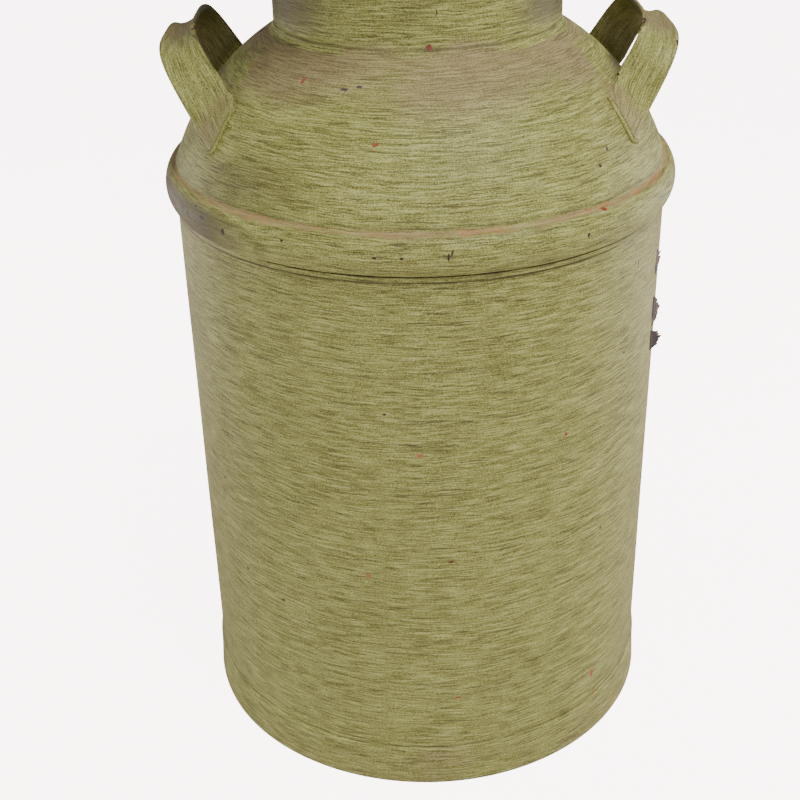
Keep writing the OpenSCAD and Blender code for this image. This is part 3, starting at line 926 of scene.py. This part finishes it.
def strap_normals(rows, i):
    """Outward directions along one row: the strap's own in the air, the shoulder's on a tab."""
    row, ahead, behind = rows[i], rows[min(i + 1, len(rows) - 1)], rows[max(i - 1, 0)]
    normals = []
    for j, p in enumerate(row):
        az, phi, height = dome_place(p)
        across = row[min(j + 1, len(row) - 1)] - row[max(j - 1, 0)]
        free = (ahead[j] - behind[j]).cross(across).normalized()
        blend = smooth(height / (8 * MM))
        normals.append((free * blend + dome_normal(az, phi) * (1 - blend)).normalized())
    return normals


def half_thickness(s):
    """Half the strap's thickness, s running from 0 in its middle to 1 at its rounded edge."""
    hem = 1 + 0.22 * hill(s, 0.93, 0.10)
    return STRAP_T / 2 * hem * sqrt(max(0, 1 - max(0, (s - 0.88) / 0.12) ** 2))


def sink_edge(p, side, face, tab):
    """Spreads a tab's edge and brings it down onto the shoulder."""
    az, phi, height = dome_place(p)
    beyond = (abs(side) - TAB_EDGE) / (1 - TAB_EDGE)
    phi += copysign(degrees(2.2 * MM * tab * beyond / DOME_R), side)
    lift = height * (1 - tab * smooth(beyond)) if face > 0 else min(height, 0)
    return dome_point(az, phi, lift - 0.3 * MM * tab)


def handle_mask(from_crown, s, face, tab, patchy):
    """Worn and chipped free edges, the wear also a painted highlight, dust on the crown and the feet,
    painted shade on the back.
    """
    crown = smooth(1 - from_crown / ARCH_ROWS * 1.1)
    # Wear on the free edges, standing also for a painted highlight along them.
    rim = 0.62 * smooth((s - 0.88) / 0.08) * (1 - tab)
    dust_and_shade = 0.85 * crown + 0.75 * smooth((from_crown - ARCH_ROWS * 0.80) / (ARCH_ROWS * 0.3))
    # Painted shade on the strap's back face over the arch.
    shade = -0.52 * smooth((ARCH_ROWS - from_crown) / 6)
    chip = 0.95 * smooth((s - 0.80) / 0.16) * (1 - tab) * patchy
    return max(rim, 0.12 * crown), min(1, dust_and_shade) if face > 0 else shade, chip


def strap_ends(count, wide):
    """Quads that close both ends of a strap."""
    size = 2 * wide - 2
    faces = []
    for end in (0, count - 1):
        for j in range(wide - 1):
            cap = list(dict.fromkeys(end * size + k for k in (j, (size - j) % size, size - j - 1, j + 1)))
            faces.append(cap if end == 0 else cap[::-1])
    return faces


def make_handle(name, side_sign, node):
    """A strap handle with turned-up edges and two foot tabs painted onto the shoulder."""
    lift = STRAP_T / 2 - 0.2 * MM
    edge = [1, 0.985, 0.96, 0.925, 0.88]
    sides = [-e for e in edge] + [-0.8 + 0.1 * k for k in range(17)] + edge[::-1]
    rows = ease_fold(strap_rows(sides, lift), lift)
    count, wide = len(rows), len(sides)
    turn = Matrix.Rotation(0 if side_sign > 0 else pi, 4, "Z")
    verts, strokes, masks = [], [], []
    along = 0
    for i, row in enumerate(rows):
        if i:
            along += (row[wide // 2] - rows[i - 1][wide // 2]).length
        from_crown = abs(i - count // 2)
        tab = smooth((from_crown - ARCH_ROWS - 1) / 4)
        normals = strap_normals(rows, i)
        for j, face in strap_ring(wide):
            s = abs(sides[j])
            p = row[j] + normals[j] * (face * half_thickness(s))
            if tab > 0 and s > TAB_EDGE:
                p = sink_edge(p, sides[j], face, tab)
            verts.append(turn @ p)
            strokes.append(((along + 3) * side_sign, 0, sides[j] * 14 * MM + face * 0.04))
            patchy = smooth(0.5 + 1.4 * wobble((along * 26, side_sign, sides[j]), 1, 5))
            masks.append(handle_mask(from_crown, s, face, tab, patchy))
    faces = tube_faces(count, 2 * wide - 2) + strap_ends(count, wide)
    make_mesh(name, verts, faces, strokes, masks, "handle_paint", "can", node)


def weld_line(az, steps):
    """Middle line of a weld bead along a tab's free edge, hooked back under the tab at its lower end."""
    line = []
    for i in range(steps + 1):
        t = i / steps
        phi = TAB_PHI[0] + (TAB_PHI[1] - TAB_PHI[0] + 0.6) * smooth(t * 1.25 - 0.22)
        phi += 0.9 * (t - 0.2) if t > 0.2 else 0
        end = 1 - smooth(t / 0.26)
        phi -= 1.2 * end
        hook = 3.2 * end
        line.append((az * (TAB_AZ + 0.5 - hook), phi))
    return line


def make_welds():
    """Lumpy weld beads along the free edges of the foot tabs."""
    verts, faces, strokes, masks = [], [], [], []
    rows, around = 48, 12
    for number, (side, az) in enumerate([(0, -1), (0, 1), (180, -1), (180, 1)]):
        turn = Matrix.Rotation(radians(side), 4, "Z")
        base = len(verts)
        line = weld_line(az, rows)
        points = [dome_point(*place, 0.8 * MM) for place in line]
        for i, (place, centre) in enumerate(zip(line, points)):
            t = i / rows
            ahead = points[min(i + 1, rows)] - points[max(i - 1, 0)]
            out = dome_normal(*place)
            sideways = ahead.cross(out).normalized()
            lump = 1 + 0.35 * wobble((t * 14, number * 5, 0), 1.0, 7)
            size = (0.85 + 0.40 * (1 - t)) * MM * lump * sqrt(max(0.02, 1 - (2 * t - 1) ** 6))
            for j in range(around):
                a = tau * j / around
                up, across = 1.3 * size * sin(a), size * cos(a)
                verts.append(turn @ (centre + out * up + sideways * across))
                strokes.append((0.3 * number + t * 0.03, 0, a * MM))
                # Painted shade along one side of each bead, a dark slot beside it.
                masks.append((0.2, -0.9 if cos(a) * az < -0.2 else 0.1, 0.3))
        faces += tube_faces(rows + 1, around, base) + tube_ends(rows + 1, around, base)
    make_mesh("foot_welds", verts, faces, strokes, masks, "handle_paint", "can", "handle_welds")


# The lid

def make_lid():
    """The lid's dish, its crown over the mouth, and the wire rolled into its edge."""
    plug = NECK_R - SHEET - 0.75 * MM
    rim, top = LID_DISH_R, LID_TOP - 6 * MM
    outline = rounded([
        (0, LID_FLOOR, 0), (plug, LID_FLOOR, 6 * MM), (plug, FLARE_Z - 1 * MM, 9 * MM),
        (rim, LIP_Z, 8 * MM), (rim, top, 0.5 * MM), (rim - SHEET, top, 0.5 * MM),
        (rim - SHEET, LIP_Z + 0.5 * MM, 8 * MM), (plug - SHEET, FLARE_Z - 0.5 * MM, 9 * MM),
        (plug - SHEET, LID_FLOOR + SHEET, 5 * MM),
        (0, LID_FLOOR + SHEET, 0),
    ], 0)

    def dish_mask(bearing, r, z):
        return 0, 0.35 + 0.4 * hill(z, LID_FLOOR, 8 * MM), 0.02

    revolve("lid_dish_wall", fine(outline, 4 * MM), "body_paint", "lid", "lid_dish",
            segments=320, mask=dish_mask)

    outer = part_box("lid_crown")[1].x
    bend = (outer - rim) / 2
    centre = ((outer + rim) / 2, LID_TOP - bend)
    crown = arc(centre, bend, 0, 180, 24)
    under = arc(centre, bend - SHEET, 180, 0, 24)
    low, foot = LID_LOW + 1 * MM, centre[1] - 3 * MM
    outline = [(outer, low)] + crown + [(rim, foot), (rim + SHEET, foot)] + under + [(outer - SHEET, low)]

    def crown_mask(bearing, r, z):
        return 0.10 * hill(z, LID_TOP, 2 * MM), 0.75 * smooth((z - centre[1]) / bend), 0.05

    revolve("lid_rim", fine(outline, 2.5 * MM), "hoop_paint", "lid", "lid_crown",
            segments=400, mask=crown_mask)
    wire_r = 2.5 * MM
    wire = arc((outer + 2.3 * MM, LID_LOW + wire_r), wire_r, 0, 345, 23)
    revolve("lid_rolled_edge", wire, "hoop_paint", "lid", "lid_edge_wire", segments=400,
            mask=lambda bearing, r, z: (0.15, 0.2, 0.25))


def lid_strap_line(half_span, bend, big):
    """The strap's middle line in the XZ plane, from the left end up and across to the right end."""
    step = 2.5 * MM
    top = LID_STRAP_TOP - LID_STRAP_T / 2
    bend_x = half_span - bend
    drop = big - sqrt((big - bend) ** 2 - bend_x ** 2)
    centre = (bend_x, top - drop)
    tilt = degrees(asin(bend_x / (big - bend)))
    right = fine(arc((0, top - big), big, 90, 90 - tilt, 30), step, False)
    right += arc(centre, bend, 90 - tilt, 0, 12)[1:]
    right += fine([(half_span, centre[1]), (half_span, LID_STRAP_LOW)], step, False)[1:]
    left = [(-x, z) for x, z in reversed(right[1:])]
    return left + right


def make_lid_strap():
    """The lid's strap handle, its ends hugging the inside of the dish."""
    half_span = LID_DISH_R - SHEET - 1.35 * MM
    line = lid_strap_line(half_span, 11 * MM, 300 * MM)
    edge = [1, 0.985, 0.95, 0.9]
    sides = [-e for e in edge] + [-0.8 + 0.2 * k for k in range(9)] + edge[::-1]
    wide = len(sides)
    verts, strokes, masks = [], [], []
    path = 0
    for i, (x, z) in enumerate(line):
        a, b = line[max(i - 1, 0)], line[min(i + 1, len(line) - 1)]
        ahead = Vector((b[0] - a[0], 0, b[1] - a[1])).normalized()
        out = Vector((-ahead.z, 0, ahead.x))
        path += dist(line[max(i - 1, 0)], line[i])
        for j, face in strap_ring(wide):
            s = abs(sides[j])
            half = LID_STRAP_T / 2 * sqrt(max(0, 1 - max(0, (s - 0.9) / 0.1) ** 2))
            y = sides[j] * LID_STRAP_W / 2
            hug = y * y / (2 * half_span) * smooth((abs(x) - half_span + 14 * MM) / (12 * MM))
            p = Vector((x - copysign(hug, x), y, z)) + out * (face * half)
            verts.append(p)
            strokes.append((path + 7, 0, y + face * 0.05))
            masks.append((0.15 * (face > 0), 0.6 if face > 0 else 0.2, 0.7 * smooth((s - 0.85) / 0.15)))
    size = 2 * wide - 2
    faces = tube_faces(len(line), size) + tube_ends(len(line), size)
    make_mesh("lid_strap", verts, faces, strokes, masks, "handle_paint", "lid", "lid_handle")


def make_rivets():
    """Domed rivet heads on the strap's ends, with flat tails outside the dish."""
    verts, faces, strokes, masks = [], [], [], []
    around = 24
    wall = LID_DISH_R - SHEET
    # Radius and distance out from the dish's inner face, in millimetres
    profile = [(0.0, -4.3), (2.2, -4.1), (3.6, -3.5), (4.4, -2.7), (4.5, -2.3), (2.0, -2.2),
               (2.0, 1.5), (3.4, 1.6), (3.4, 2.0), (3.0, 2.3), (0.0, 2.4)]
    height, half_pitch = LID_STRAP_LOW + 8 * MM, 7 * MM
    for side in (1, -1):
        for y in (-half_pitch, half_pitch):
            x = sqrt(wall ** 2 - y ** 2)
            rings = []
            for r, out in profile:
                ring = []
                for j in range(1 if r == 0 else around):
                    a = tau * j / around
                    ring.append(len(verts))
                    across, up = r * MM * cos(a), r * MM * sin(a)
                    verts.append((side * (x + out * MM), y + across * side, height + up))
                    strokes.append((y + 5, 0, r * MM))
                    masks.append((0.2, 0.35, 0.35))
                rings.append(ring)
            for low, high in zip(rings, rings[1:]):
                faces += ring_faces(low, high, around, around)
    make_mesh("lid_rivet_heads", verts, faces, strokes, masks, "handle_paint", "lid", "lid_rivets")


# Torn paint

# Curled flakes on the right side: bearing, lowest and highest point, reach in millimetres, seed
FLAKES = [
    (70.0, 0.3435, 0.3620, 1.5, 1),
    (70.5, 0.3050, 0.3270, 3.2, 2),
    (70.0, 0.2870, 0.3020, 5.6, 3),
]


def make_flakes():
    """Thin leaves of torn paint that curl off the wall."""
    verts, faces = [], []
    tall, deep = 18, 8
    gap, half = 0.1 * MM, 0.12 * MM
    for bearing, low, high, reach, seed in FLAKES:
        for face in (1, -1):
            for i in range(tall + 1):
                u = i / tall
                leaf = sin(pi * u) ** 0.8 * (1 + 0.8 * wobble((u * 9, seed, 0), 1, seed))
                for j in range(deep + 1):
                    v = j / deep
                    az = radians(bearing + 3.2 * v * leaf)
                    lifted = reach * MM * leaf * v ** 1.3
                    r = BODY_R + wall_shift(bearing, low) + gap + lifted + face * half
                    z = low + (high - low) * u + 0.8 * MM * v * wobble((u * 4, 0, seed), 1, seed)
                    verts.append((r * sin(az), -r * cos(az), z))
        size = (tall + 1) * (deep + 1)
        first = len(verts) - 2 * size
        for face in (0, 1):
            base = first + face * size
            for i in range(tall):
                for j in range(deep):
                    a = base + i * (deep + 1) + j
                    quad = [a, a + 1, a + deep + 2, a + deep + 1]
                    faces.append(quad if face else quad[::-1])
        rim, root = range(deep, size, deep + 1), range(0, size, deep + 1)
        foot, head = range(deep + 1), range(size - deep - 1, size)
        for edge_line, flip in ((rim, False), (root, True), (foot, False), (head, True)):
            for a, b in zip(edge_line, edge_line[1:]):
                quad = [first + a, first + b, first + size + b, first + size + a]
                faces.append(quad[::-1] if flip else quad)
    blank = [(0, 0, 0)] * len(verts)
    make_mesh("paint_flakes", verts, faces, blank, blank, "body_paint", "can", material=flake_material())


# Stage, light and camera

def camera_only(tree, amount):
    """A number that only rays straight from the camera see, so that the backdrop shows white."""
    path = tree.nodes.new("ShaderNodeLightPath")
    scaled = tree.nodes.new("ShaderNodeMath")
    scaled.operation = "MULTIPLY"
    tree.links.new(path.outputs["Is Camera Ray"], scaled.inputs[0])
    scaled.inputs[1].default_value = amount
    return scaled.outputs[0]


def make_stage():
    bpy.ops.mesh.primitive_plane_add(size=FLOOR_SIZE)
    floor = bpy.context.object
    floor.name = "studio_floor"
    g = Graph("studio_floor")
    speck = g.noise(g.place, 3, 2)
    pale = g.mix(speck, tone(240, 231, 228), tone(244, 235, 232))
    g.feed("Base Color", pale)
    g.feed("Emission Color", pale)
    g.feed("Emission Strength", camera_only(g.tree, BACKDROP))
    g.feed("Roughness", 0.8)
    g.feed("Specular IOR Level", 0.1)
    floor.data.materials.append(g.material)


def area_light(name, bearing, elevation, size, power, colour, distance=LIGHT_DISTANCE):
    """A soft square light that faces the can's middle."""
    a, e = radians(bearing), radians(elevation)
    middle = Vector((0, 0, 0.3))
    toward = Vector((sin(a) * cos(e), -cos(a) * cos(e), sin(e)))
    light = bpy.data.lights.new(name, "AREA")
    light.energy = power
    light.size = size
    light.color = colour
    lamp = bpy.data.objects.new(name, light)
    lamp.location = middle + toward * distance
    lamp.rotation_mode = "QUATERNION"
    lamp.rotation_quaternion = toward.to_track_quat("Z", "Y")
    bpy.context.scene.collection.objects.link(lamp)


def make_light():
    """A pale world, a key light at the upper right, and weaker lights from the front and sides."""
    world = bpy.data.worlds.new("studio")
    world.use_nodes = True
    tree = world.node_tree
    background = tree.nodes["Background"]
    background.inputs["Color"].default_value = (1.0, 0.975, 0.97, 1)
    total = tree.nodes.new("ShaderNodeMath")
    total.operation = "ADD"
    total.inputs[0].default_value = WORLD_LIGHT
    tree.links.new(camera_only(tree, BACKDROP), total.inputs[1])
    tree.links.new(total.outputs[0], background.inputs["Strength"])
    bpy.context.scene.world = world
    area_light("key", 38, 60, 0.8, 43, (1, 0.99, 0.95))
    area_light("left_fill", -72, -8, 0.5, 1.8, (1, 0.96, 0.92), NEAR_LIGHT)
    area_light("front_fill", -5, 12, 1.2, 11, (1, 0.99, 0.96))
    area_light("back_left", -115, -4, 0.5, 4.2, (1, 0.94, 0.88), NEAR_LIGHT)
    area_light("right_rim", 108, -4, 0.6, 7.8, (1, 0.92, 0.83), NEAR_LIGHT)


def make_camera():
    """The camera stands above the front, a little to the left, and looks down on the can."""
    az, distance, height = radians(-1.55), 0.8714, 0.6984
    pitch, yaw, roll = 0.4999, 0.00725, -0.0242
    forward = Vector((sin(yaw) * cos(pitch), cos(yaw) * cos(pitch), -sin(pitch)))
    right = Vector((cos(yaw), -sin(yaw), 0))
    up = right.cross(forward)
    turned_right = right * cos(roll) + up * sin(roll)
    turned_up = up * cos(roll) - right * sin(roll)
    data = bpy.data.cameras.new("camera")
    data.lens = 59.6
    data.sensor_width = 36
    camera = bpy.data.objects.new("camera", data)
    columns = Matrix((turned_right, turned_up, -forward)).transposed().to_4x4()
    place = Vector((distance * sin(az), -distance * cos(az), height))
    camera.matrix_world = Matrix.Translation(place) @ columns
    bpy.context.scene.collection.objects.link(camera)
    bpy.context.scene.camera = camera


make_camera()
make_light()
make_stage()
make_body()
make_hoop()
make_pan()
make_shoulder()
make_band()
make_neck()
make_handle("left_strap_handle", -1, "left_handle")
make_handle("right_strap_handle", 1, "right_handle")
make_welds()
make_flakes()
make_lid()
make_lid_strap()
make_rivets()
